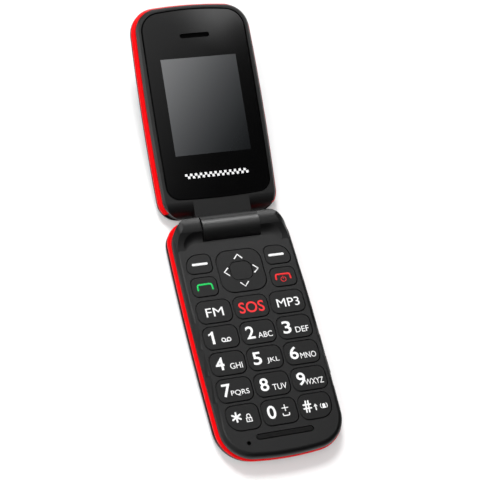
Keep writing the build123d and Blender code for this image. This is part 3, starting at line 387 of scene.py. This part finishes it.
def inner_finishes():
    """Metals, board, battery and the rest that the open battery bay shows."""
    metals = {"tin_plate": ((0.62, 0.62, 0.6), 0.34), "screw_steel": ((0.3, 0.3, 0.31), 0.36),
              "pin_steel": ((0.5, 0.5, 0.51), 0.28), "magnet_nickel": ((0.6, 0.58, 0.54), 0.22),
              "contact_gold": ((0.85, 0.58, 0.2), 0.25)}
    for name, (colour, roughness) in metals.items():
        metal = Finish(name, colour, roughness, Metallic=1.0)
        metal.stretch(BRUSHED)
        metal.polish(roughness - 0.08, roughness + 0.1, 0.4 * MM)
        metal.bump(metal.noise(0.3 * MM), 0.004 * MM)
    board = Finish("board_green", (0.01, 0.1, 0.045), 0.3)
    tracks = board.node("ShaderNodeTexBrick", {
        "Vector": board.place, "Scale": 1.0 / (4 * MM), "Mortar Size": 0.05,
        "Color1": (*board.colour, 1.0), "Color2": (0.012, 0.12, 0.05, 1.0),
        "Mortar": (0.03, 0.19, 0.09, 1.0)})
    board.feed(tracks.outputs["Color"], "Base Color")
    wrap = Finish("battery_wrap", (0.05, 0.055, 0.07), 0.35)
    wrap.mottle(0.15, 8 * MM).bump(wrap.noise(1.5 * MM), 0.02 * MM)
    rubber = Finish("silicone", (0.35, 0.35, 0.36), 0.55, Transmission_Weight=0.15)
    rubber.mottle(0.1, 5 * MM)
    speaker = Finish("speaker_black", (0.012, 0.012, 0.012), 0.5)
    speaker.mottle(0.3, 2 * MM)
    # the grilles' own dark colour, darkened further with painted shade of the slots they sit in; grille_black
    # also draws the painted groove shade round the window
    for name, tone, level in (("grille_black", 0.0006, 0.02), ("slot_shade_grey", 0.004, 0.1)):
        grille = Finish(name, (tone, tone, tone), 0.6, Specular_IOR_Level=level)
        weave = grille.node("ShaderNodeTexVoronoi", {
            "Vector": grille.place, "Scale": 1.0 / (0.35 * MM), "Randomness": 0.0})
        grille.bump(weave.outputs["Distance"], 0.05 * MM)
    lens = Finish("lens_dark", (0.004, 0.004, 0.008), 0.05, Coat_Weight=1.0, Coat_Roughness=0.02)
    lens.polish(0.04, 0.08, 2 * MM)
    panel = Finish("display_grey", (0.2, 0.2, 0.21), 0.3)
    panel.mottle(0.1, 6 * MM)


def screen_finish():
    """The switched-off display with a painted reflection: silver grey that falls off towards the lower right.
    """
    screen = Finish("screen_view", (0.1, 0.1, 0.1), 0.1)
    centre = LID_PLACE @ Vector((0.0, (VIEW_LOW + VIEW_HEIGHT / 2) * MM, 0.0))
    shift = screen.node("ShaderNodeVectorMath", {0: screen.place, 1: centre}, operation="SUBTRACT")
    across = LID_TURN.to_3x3() @ Vector(SCREEN_SHEEN_ACROSS)
    fall = screen.node("ShaderNodeVectorMath", {0: shift.outputs["Vector"], 1: across},
                       operation="DOT_PRODUCT")
    reach = SCREEN_SHEEN_REACH * MM
    share = ranged(screen.tree, fall.outputs["Value"], 0.0, 1.0, source=(-reach, reach))
    ramp = screen.node("ShaderNodeValToRGB", {"Fac": share})
    ramp.color_ramp.interpolation = "B_SPLINE"
    elements = ramp.color_ramp.elements
    for position, colour in SCREEN_SHEEN_TONES[1:-1]:
        elements.new(position).color = (*colour, 1.0)
    elements[0].color = (*SCREEN_SHEEN_TONES[0][1], 1.0)
    elements[-1].color = (*SCREEN_SHEEN_TONES[-1][1], 1.0)
    # the painted reflection goes into the base colour, so it stays the same under any lamp
    screen.feed(ramp.outputs["Color"], "Base Color")
    screen.polish(0.09, 0.13, 14 * MM)


def dress(node, finish):
    """Gives a solid of the frame its finish."""
    mesh = frame["nodes"][node].data
    mesh.materials.clear()
    mesh.materials.append(FINISHES[finish])


# ------------------------------------------------------------------ mesh helpers
def linked(name, data):
    """A new object in the scene."""
    piece = bpy.data.objects.new(name, data)
    bpy.context.scene.collection.objects.link(piece)
    return piece


def finished(name, mesh, body, finish=None):
    """An object at the origin that rides on a body, its place in its mesh."""
    piece = linked(name, mesh)
    if finish:
        mesh.materials.clear()
        mesh.materials.append(FINISHES[finish])
    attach(piece, body)


def outward(mesh):
    """Turns every face of a closed mesh outwards."""
    work = bmesh.new()
    work.from_mesh(mesh)
    bmesh.ops.remove_doubles(work, verts=work.verts, dist=WELD)
    bmesh.ops.recalc_face_normals(work, faces=work.faces)
    work.to_mesh(mesh)
    work.free()
    return mesh


def evaluated_mesh(piece, name):
    """The plain mesh of an object with its modifiers, which is then removed."""
    bpy.context.view_layer.update()
    graph = bpy.context.evaluated_depsgraph_get()
    mesh = bpy.data.meshes.new_from_object(piece.evaluated_get(graph), depsgraph=graph)
    mesh.name = name
    data, kind = piece.data, piece.type
    bpy.data.objects.remove(piece)
    if kind in ("CURVE", "FONT"):
        bpy.data.curves.remove(data)
    else:
        bpy.data.meshes.remove(data)
    return mesh


def text_mesh(text, width, height, weight, depth):
    """Letters as a closed mesh of this width and height, centred on the origin."""
    curve = bpy.data.curves.new("letters", "FONT")
    curve.body = text
    curve.size = 1.0
    curve.offset = weight
    curve.extrude = LETTER_EXTRUDE
    curve.resolution_u = LETTER_STEPS
    curve.space_character = 1.0 + 2.0 * weight
    mesh = evaluated_mesh(linked("letters", curve), "letters")
    low = Vector([min(v.co[axis] for v in mesh.vertices) for axis in range(3)])
    high = Vector([max(v.co[axis] for v in mesh.vertices) for axis in range(3)])
    size = high - low
    fit = Matrix.Diagonal((width / size.x, height / size.y, depth / size.z, 1.0))
    mesh.transform(fit @ Matrix.Translation(-(low + high) / 2))
    return outward(mesh)


def prism_mesh(outline, depth):
    """A filled outline as a closed mesh, centred in depth."""
    work = bmesh.new()
    low = [work.verts.new((x, y, -depth / 2)) for x, y in outline]
    high = [work.verts.new((x, y, depth / 2)) for x, y in outline]
    work.faces.new(low)
    work.faces.new(high)
    for index in range(len(outline)):
        after = (index + 1) % len(outline)
        work.faces.new((low[index], low[after], high[after], high[index]))
    bmesh.ops.triangulate(work, faces=[face for face in work.faces if len(face.verts) > 4])
    bmesh.ops.recalc_face_normals(work, faces=work.faces)
    mesh = bpy.data.meshes.new("shape")
    work.to_mesh(mesh)
    work.free()
    return mesh


def joined(name, meshes):
    """Several meshes as one."""
    work = bmesh.new()
    for mesh in meshes:
        work.from_mesh(mesh)
        bpy.data.meshes.remove(mesh)
    together = bpy.data.meshes.new(name)
    work.to_mesh(together)
    work.free()
    return together


# ------------------------------------------------------------------ geometry nodes
class Tree:
    """A geometry node tree with named inputs."""

    def __init__(self, name, inputs):
        self.group = bpy.data.node_groups.new(name, "GeometryNodeTree")
        face = self.group.interface
        face.new_socket("Geometry", in_out="INPUT", socket_type="NodeSocketGeometry")
        for label, kind in inputs.items():
            face.new_socket(label, in_out="INPUT", socket_type=f"NodeSocket{kind}")
        face.new_socket("Geometry", in_out="OUTPUT", socket_type="NodeSocketGeometry")
        self.start = self.group.nodes.new("NodeGroupInput").outputs
        self.end = self.group.nodes.new("NodeGroupOutput").inputs["Geometry"]

    def node(self, kind, links=None, **settings):
        """The first output of a node of this kind."""
        return add_node(self.group, kind, links, **settings).outputs[0]

    def maths(self, operation, first, second=0.0):
        """A number worked out from two."""
        return self.node("ShaderNodeMath", {0: first, 1: second}, operation=operation)

    def close(self, geometry):
        """Ends the tree in Realize Instances and Set Material."""
        real = self.node("GeometryNodeRealizeInstances", {"Geometry": geometry})
        painted = self.node("GeometryNodeSetMaterial", {"Geometry": real, "Material": self.start["Finish"]})
        self.group.links.new(painted, self.end)

    def run(self, piece, name, **values):
        """The plain mesh that the tree makes of an object."""
        modifier = piece.modifiers.new(name, "NODES")
        modifier.node_group = self.group
        for item in self.group.interface.items_tree:
            if item.in_out == "INPUT" and item.name in values:
                modifier[item.identifier] = values[item.name]
        return evaluated_mesh(piece, name)


def stroke_tree():
    """Sweeps a flat profile along lines and rounds their ends."""
    tree = Tree("Printed stroke", {"Width": "Float", "Depth": "Float", "Corner": "Float",
                                   "Round ends": "Bool", "Finish": "Material"})
    soft = tree.node("GeometryNodeFilletCurve",
                     {"Curve": tree.start["Geometry"], "Radius": tree.start["Corner"],
                      "Count": STROKE_CORNER_STEPS, "Limit Radius": True}, mode="POLY")
    flat = tree.node("GeometryNodeSetCurveNormal", {"Curve": soft}, mode="Z_UP")
    profile = tree.node("GeometryNodeCurvePrimitiveQuadrilateral",
                        {"Width": tree.start["Width"], "Height": tree.start["Depth"]})
    swept = tree.node("GeometryNodeCurveToMesh", {"Curve": flat, "Profile Curve": profile, "Fill Caps": True})
    half = tree.maths("MULTIPLY", tree.start["Width"], 0.5)
    thin = tree.maths("SUBTRACT", tree.start["Depth"], LAYER)
    disc = tree.node("GeometryNodeMeshCylinder",
                     {"Vertices": STROKE_END_SIDES, "Radius": half, "Depth": thin})
    ends = tree.node("GeometryNodeCurveEndpointSelection", {"Start Size": 1, "End Size": 1})
    chosen = tree.node("FunctionNodeBooleanMath", {0: ends, 1: tree.start["Round ends"]}, operation="AND")
    caps = tree.node("GeometryNodeInstanceOnPoints",
                     {"Points": tree.start["Geometry"], "Selection": chosen, "Instance": disc})
    both = tree.group.nodes.new("GeometryNodeJoinGeometry")
    for part in (caps, swept):
        tree.group.links.new(part, both.inputs["Geometry"])
    tree.close(both.outputs["Geometry"])
    return tree


def turned_copies_tree():
    """Copies of a mesh turned evenly about Z."""
    tree = Tree("Turned copies", {"Count": "Int", "Finish": "Material"})
    spots = tree.node("GeometryNodeMeshLine", {"Count": tree.start["Count"], "Offset": (0.0, 0.0, 0.0)})
    index = tree.node("GeometryNodeInputIndex")
    step = tree.maths("DIVIDE", 2.0 * math.pi, tree.start["Count"])
    turn = tree.node("ShaderNodeCombineXYZ", {"Z": tree.maths("MULTIPLY", index, step)})
    copies = tree.node("GeometryNodeInstanceOnPoints",
                       {"Points": spots, "Instance": tree.start["Geometry"], "Rotation": turn})
    tree.close(copies)
    return tree


def check_tree():
    """A strip of squares, every second one left out."""
    tree = Tree("Check strip", {"Square": "Float", "Depth": "Float", "Columns": "Int", "Rows": "Int",
                                "Finish": "Material"})
    columns, rows, square = tree.start["Columns"], tree.start["Rows"], tree.start["Square"]
    grid = tree.node("GeometryNodeMeshGrid",
                     {"Size X": tree.maths("MULTIPLY", tree.maths("SUBTRACT", columns, 1.0), square),
                      "Size Y": tree.maths("MULTIPLY", tree.maths("SUBTRACT", rows, 1.0), square),
                      "Vertices X": columns, "Vertices Y": rows})
    index = tree.node("GeometryNodeInputIndex")
    column = tree.maths("FLOOR", tree.maths("DIVIDE", index, rows))
    row = tree.maths("MODULO", index, rows)
    parity = tree.maths("MODULO", tree.maths("ADD", column, row), 2.0)
    chosen = tree.node("FunctionNodeCompare", {0: parity, 1: 0.5},
                       data_type="FLOAT", operation="GREATER_THAN")
    side = tree.maths("MULTIPLY", square, CHECK_FILL)
    size = tree.node("ShaderNodeCombineXYZ", {"X": side, "Y": side, "Z": tree.start["Depth"]})
    block = tree.node("GeometryNodeMeshCube", {"Size": size})
    copies = tree.node("GeometryNodeInstanceOnPoints",
                       {"Points": grid, "Selection": chosen, "Instance": block})
    tree.close(copies)
    return tree


def stroke_mesh(tree, name, lines, width, depth, finish, corner=0.0, round_ends=True, closed=False):
    """Lines in millimetres, drawn with a stroke of this width."""
    curve = bpy.data.curves.new(name, "CURVE")
    curve.dimensions = "3D"
    for index, line in enumerate(lines):
        spline = curve.splines.new("POLY")
        spline.points.add(len(line) - 1)
        spline.use_cyclic_u = closed
        for point, (x, y) in zip(spline.points, line):
            point.co = (x * MM, y * MM, index * LAYER, 1.0)
    values = {"Width": width * MM, "Depth": depth, "Corner": corner * MM, "Round ends": round_ends,
              "Finish": FINISHES[finish]}
    return outward(tree.run(linked(name, curve), name, **values))


def key_top(node):
    """The middle of a key's top."""
    low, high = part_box(node)
    return Vector(((low.x + high.x) / 2, (low.y + high.y) / 2, high.z))


def place_on_key(mesh, node, depth, x=0.0, y=0.0):
    """Moves a mesh to a spot in millimetres on a key's top, sunk by a fifth of its depth."""
    mesh.transform(Matrix.Translation(key_top(node) + Vector((x * MM, y * MM, PRINT_LIFT * depth))))


def place_on_window(mesh, depth, y=0.0):
    """Moves a mesh from the lid's flat plan, y millimetres up it, onto the window."""
    mesh.transform(LID_PLACE @ Matrix.Translation((0.0, y * MM, PRINT_LIFT * depth)))


# ------------------------------------------------------------------ operators
class PHONE_OT_mouldings(bpy.types.Operator):
    """Finish of the housings, covers, bands and keys"""
    bl_idname = "phone.mouldings"
    bl_label = "Mouldings"

    def execute(self, context):
        moulded_finishes(context.scene.phone_finishes)
        dress("front_housing", "front_plastic")
        dress("lid_frame", "lid_plastic")
        for node in ("base_band", "lid_band"):
            dress(node, "band_red")
        for node in ("rear_housing", "battery_cover", "lid_cover"):
            dress(node, "back_plastic")
        for node in KEYS:
            dress(node, "key_plastic")
        return {"FINISHED"}


class PHONE_OT_inner_pieces(bpy.types.Operator):
    """Finish of the board, battery, metal parts, grilles and lens"""
    bl_idname = "phone.inner_pieces"
    bl_label = "Inner pieces"

    def execute(self, context):
        inner_finishes()
        groups = {
            "tin_plate": ("shield_can", "sim_holder", "key_domes", "vibration_motor"),
            "contact_gold": ("battery_contacts", "antenna"),
            "board_green": ("main_board", "lid_board"),
            "speaker_black": ("loudspeaker", "earpiece", "camera_module", "usb_port"),
            # dark with painted shade, so the sound slot, the ear slot and the microphone hole read as deep
            "slot_shade_grey": ("sound_grille",),
            "grille_black": ("ear_grille", "microphone"),
            "screw_steel": ("base_screws", "lid_screws"),
            "pin_steel": ("pivot_tube", "drive_pin", "cam_unit"),
            "silicone": ("keypad_mat",),
            "battery_wrap": ("battery",),
            "magnet_nickel": ("lid_magnet",),
            "display_grey": ("display_module",),
            "lens_dark": ("camera_window",),
        }
        for finish, nodes in groups.items():
            for node in nodes:
                dress(node, finish)
        return {"FINISHED"}


class PHONE_OT_window(bpy.types.Operator):
    """Glossy window, the display behind it and the check strip"""
    bl_idname = "phone.window"
    bl_label = "Window and display"

    def execute(self, context):
        sizes = context.scene.phone_sizes
        dress("window", "window_black")
        screen_finish()
        depth = sizes.print_depth
        corners = [(-VIEW_HALF_WIDTH, VIEW_LOW), (VIEW_HALF_WIDTH, VIEW_LOW),
                   (VIEW_HALF_WIDTH, VIEW_LOW + VIEW_HEIGHT), (-VIEW_HALF_WIDTH, VIEW_LOW + VIEW_HEIGHT)]
        view = prism_mesh([(x * MM, y * MM) for x, y in corners], depth)
        place_on_window(view, depth)
        finished("screen_view", view, "lid", "screen_view")
        # the groove round the window as painted shade, a near-black line without sheen
        edge = stroke_mesh(stroke_tree(), "window_edge", [window_edge()], EDGE_STROKE, depth, "grille_black",
                           round_ends=False, closed=True)
        place_on_window(edge, depth)
        finished("window_edge", edge, "lid")

        holder = linked("check_strip", bpy.data.meshes.new("check_strip"))
        checks = check_tree().run(holder, "check_strip", Square=sizes.check, Depth=depth,
                                  Columns=CHECK_COLUMNS, Rows=CHECK_ROWS, Finish=FINISHES["print_white"])
        place_on_window(checks, depth, CHECK_ROW_MIDDLE)
        finished("check_strip", outward(checks), "lid")
        return {"FINISHED"}


class PHONE_OT_inks(bpy.types.Operator):
    """White, red and green ink"""
    bl_idname = "phone.inks"
    bl_label = "Inks"

    def execute(self, context):
        printed_finishes(context.scene.phone_finishes)
        return {"FINISHED"}


class PHONE_OT_legends(bpy.types.Operator):
    """Digits, letters and words on the keys"""
    bl_idname = "phone.legends"
    bl_label = "Digits and letters"

    def execute(self, context):
        sizes = context.scene.phone_sizes
        depth = sizes.print_depth
        for node, digit in DIGITS.items():
            mesh = text_mesh(digit, DIGIT_WIDTH * MM, sizes.digit_height, DIGIT_WEIGHT, depth)
            place_on_key(mesh, node, depth, DIGIT_X, DIGIT_Y)
            finished(f"digit_{digit}", mesh, f"{node}_cap", "print_white")
        for node, (text, width) in LETTERS.items():
            mesh = text_mesh(text, width * MM, sizes.letter_height, 0.0, depth)
            place_on_key(mesh, node, depth, LETTERS_RIGHT - width / 2, LETTERS_Y)
            finished(f"letters_{text.lower()}", mesh, f"{node}_cap", "print_white")
        for node, (text, x, y, width, height, weight, ink) in WORDS.items():
            mesh = text_mesh(text, width * MM, height * MM, weight, depth)
            place_on_key(mesh, node, depth, x, y)
            finished(f"word_{node}", mesh, f"{node}_cap", ink)
        return {"FINISHED"}


class PHONE_OT_marks(bpy.types.Operator):
    """Call marks, dashes, arrows and small signs on the keys"""
    bl_idname = "phone.marks"
    bl_label = "Marks"

    def execute(self, context):
        depth = context.scene.phone_sizes.print_depth
        stroke = stroke_tree()
        for node, strokes in MARKS.items():
            for index, (width, corner, ink, lines) in enumerate(strokes):
                mesh = stroke_mesh(stroke, f"mark_{node}_{index}", lines, width, depth, ink, corner)
                place_on_key(mesh, node, depth)
                finished(f"mark_{node}_{index}", mesh, f"{node}_cap")
        for node, outlines in SHAPES.items():
            shapes = [prism_mesh([(x * MM, y * MM) for x, y in outline], depth) for outline in outlines]
            mesh = joined(f"shape_{node}", shapes)
            place_on_key(mesh, node, depth)
            finished(f"shape_{node}", mesh, f"{node}_cap", "print_white")

        arrow = stroke_mesh(stroke, "arrow", [[(x, y + CHEVRON_FOOT) for x, y in CHEVRON]],
                            CHEVRON_STROKE, depth, "print_white", round_ends=False)
        arrows = turned_copies_tree().run(linked("arrows", arrow), "arrows", Count=4,
                                          Finish=FINISHES["print_white"])
        place_on_key(arrows, "key_nav", depth)
        finished("direction_arrows", outward(arrows), "key_nav_cap")
        return {"FINISHED"}


class PHONE_OT_studio(bpy.types.Operator):
    """Floor, lamps, sky and camera"""
    bl_idname = "phone.studio"
    bl_label = "Studio"

    def execute(self, context):
        studio = context.scene.phone_studio
        self.floor(studio)
        self.sky(context.scene, studio)
        for name, settings in LAMPS.items():
            self.lamp(name, studio.lamp_power, *settings)
        self.camera(context.scene)
        context.scene.view_settings.view_transform = "Standard"
        return {"FINISHED"}

    def floor(self, studio):
        half = studio.floor_size / 2
        work = bmesh.new()
        corners = [(-half, -half), (half, -half), (half, half), (-half, half)]
        work.faces.new([work.verts.new((x, y, 0.0)) for x, y in corners])
        mesh = bpy.data.meshes.new("floor")
        work.to_mesh(mesh)
        work.free()
        floor = linked("floor", mesh)
        paper = Finish("floor_paper", (PAPER_WHITE, PAPER_WHITE, PAPER_WHITE), 0.9, Specular_IOR_Level=0.0)
        rays = paper.node("ShaderNodeLightPath").outputs
        seen = rays["Is Camera Ray"]
        for ray in ("Is Glossy Ray", "Is Transmission Ray"):
            seen = paper.node("ShaderNodeMath", {0: seen, 1: rays[ray]}, operation="MAXIMUM").outputs[0]
        out = paper.node("ShaderNodeVectorMath", {0: paper.place}, operation="LENGTH").outputs["Value"]
        glow = ranged(paper.tree, out, studio.floor_glow, 1.0, smooth=True, source=FLOOR_FADE)
        share = paper.node("ShaderNodeMath", {0: seen, 1: glow}, operation="MULTIPLY").outputs[0]
        light = paper.node("ShaderNodeEmission").outputs["Emission"]
        mix = paper.node("ShaderNodeMixShader", {"Fac": share, 1: paper.shader.outputs["BSDF"], 2: light})
        output = next(node for node in paper.tree.nodes if node.type == "OUTPUT_MATERIAL")
        paper.tree.links.new(mix.outputs["Shader"], output.inputs["Surface"])
        mesh.materials.append(paper.material)

    def sky(self, scene, studio):
        world = bpy.data.worlds.new("studio")
        scene.world = world
        world.use_nodes = True
        tree = world.node_tree
        direction = add_node(tree, "ShaderNodeTexCoord").outputs["Generated"]
        towards = add_node(tree, "ShaderNodeVectorMath", {0: direction, 1: SKY_TOWARDS},
                           operation="DOT_PRODUCT").outputs["Value"]
        colour = ranged(tree, towards, studio.sky_dark, studio.sky_bright, smooth=True, source=SKY_EDGE)
        back = add_node(tree, "ShaderNodeSeparateXYZ", {0: direction}).outputs["Y"]
        strength = ranged(tree, back, 1.0, SKY_BACK_SHARE, smooth=True, source=SKY_BACK)
        tree.links.new(colour, tree.nodes["Background"].inputs["Color"])
        tree.links.new(strength, tree.nodes["Background"].inputs["Strength"])

    def lamp(self, name, share, place, size, power, rays):
        light = bpy.data.lights.new(name, "AREA")
        light.shape = "RECTANGLE"
        light.size, light.size_y = size
        light.energy = power * share
        lamp = linked(name, light)
        lamp.location = HINGE_POINT + Vector(place)
        lamp.rotation_euler = Vector(place).to_track_quat("Z", "Y").to_euler()
        lamp.visible_glossy = rays == "glossy"
        lamp.visible_diffuse = rays == "diffuse"

    def camera(self, scene):
        data = bpy.data.cameras.new("camera")
        data.sensor_width = SENSOR
        data.lens = CAMERA_LENS
        data.clip_start, data.clip_end = CAMERA_CLIP
        camera = linked("camera", data)
        camera.location = HINGE_POINT + Vector(CAMERA_FROM_HINGE)
        camera.rotation_euler = [math.radians(turn) for turn in CAMERA_TURN]
        scene.camera = camera


class PHONE_PT_sidebar(bpy.types.Panel):
    """Lists the steps of the model"""
    bl_idname = "PHONE_PT_sidebar"
    bl_label = "Flip phone"
    bl_space_type = "VIEW_3D"
    bl_region_type = "UI"
    bl_category = "Flip phone"

    def draw(self, context):
        for group in (context.scene.phone_finishes, context.scene.phone_sizes, context.scene.phone_studio):
            box = self.layout.box()
            for name in group.bl_rna.properties.keys():
                if name not in ("rna_type", "name"):
                    box.prop(group, name)
        for operator in STEPS:
            self.layout.operator(operator.bl_idname)


GROUPS = {"phone_finishes": PhoneFinishes, "phone_sizes": PhoneSizes, "phone_studio": PhoneStudio}
STEPS = (PHONE_OT_mouldings, PHONE_OT_inner_pieces, PHONE_OT_inks, PHONE_OT_window, PHONE_OT_legends,
         PHONE_OT_marks, PHONE_OT_studio)


def register():
    for name, group in GROUPS.items():
        bpy.utils.register_class(group)
        setattr(bpy.types.Scene, name, bpy.props.PointerProperty(type=group))
    for operator in (*STEPS, PHONE_PT_sidebar):
        bpy.utils.register_class(operator)


def unregister():
    for operator in reversed((*STEPS, PHONE_PT_sidebar)):
        bpy.utils.unregister_class(operator)
    for name, group in GROUPS.items():
        delattr(bpy.types.Scene, name)
        bpy.utils.unregister_class(group)


def main():
    """Makes everything, in order."""
    register()
    bpy.ops.phone.mouldings()
    bpy.ops.phone.inner_pieces()
    bpy.ops.phone.inks()
    bpy.ops.phone.window()
    bpy.ops.phone.legends()
    bpy.ops.phone.marks()
    bpy.ops.phone.studio()


if __name__ == "__main__":
    main()
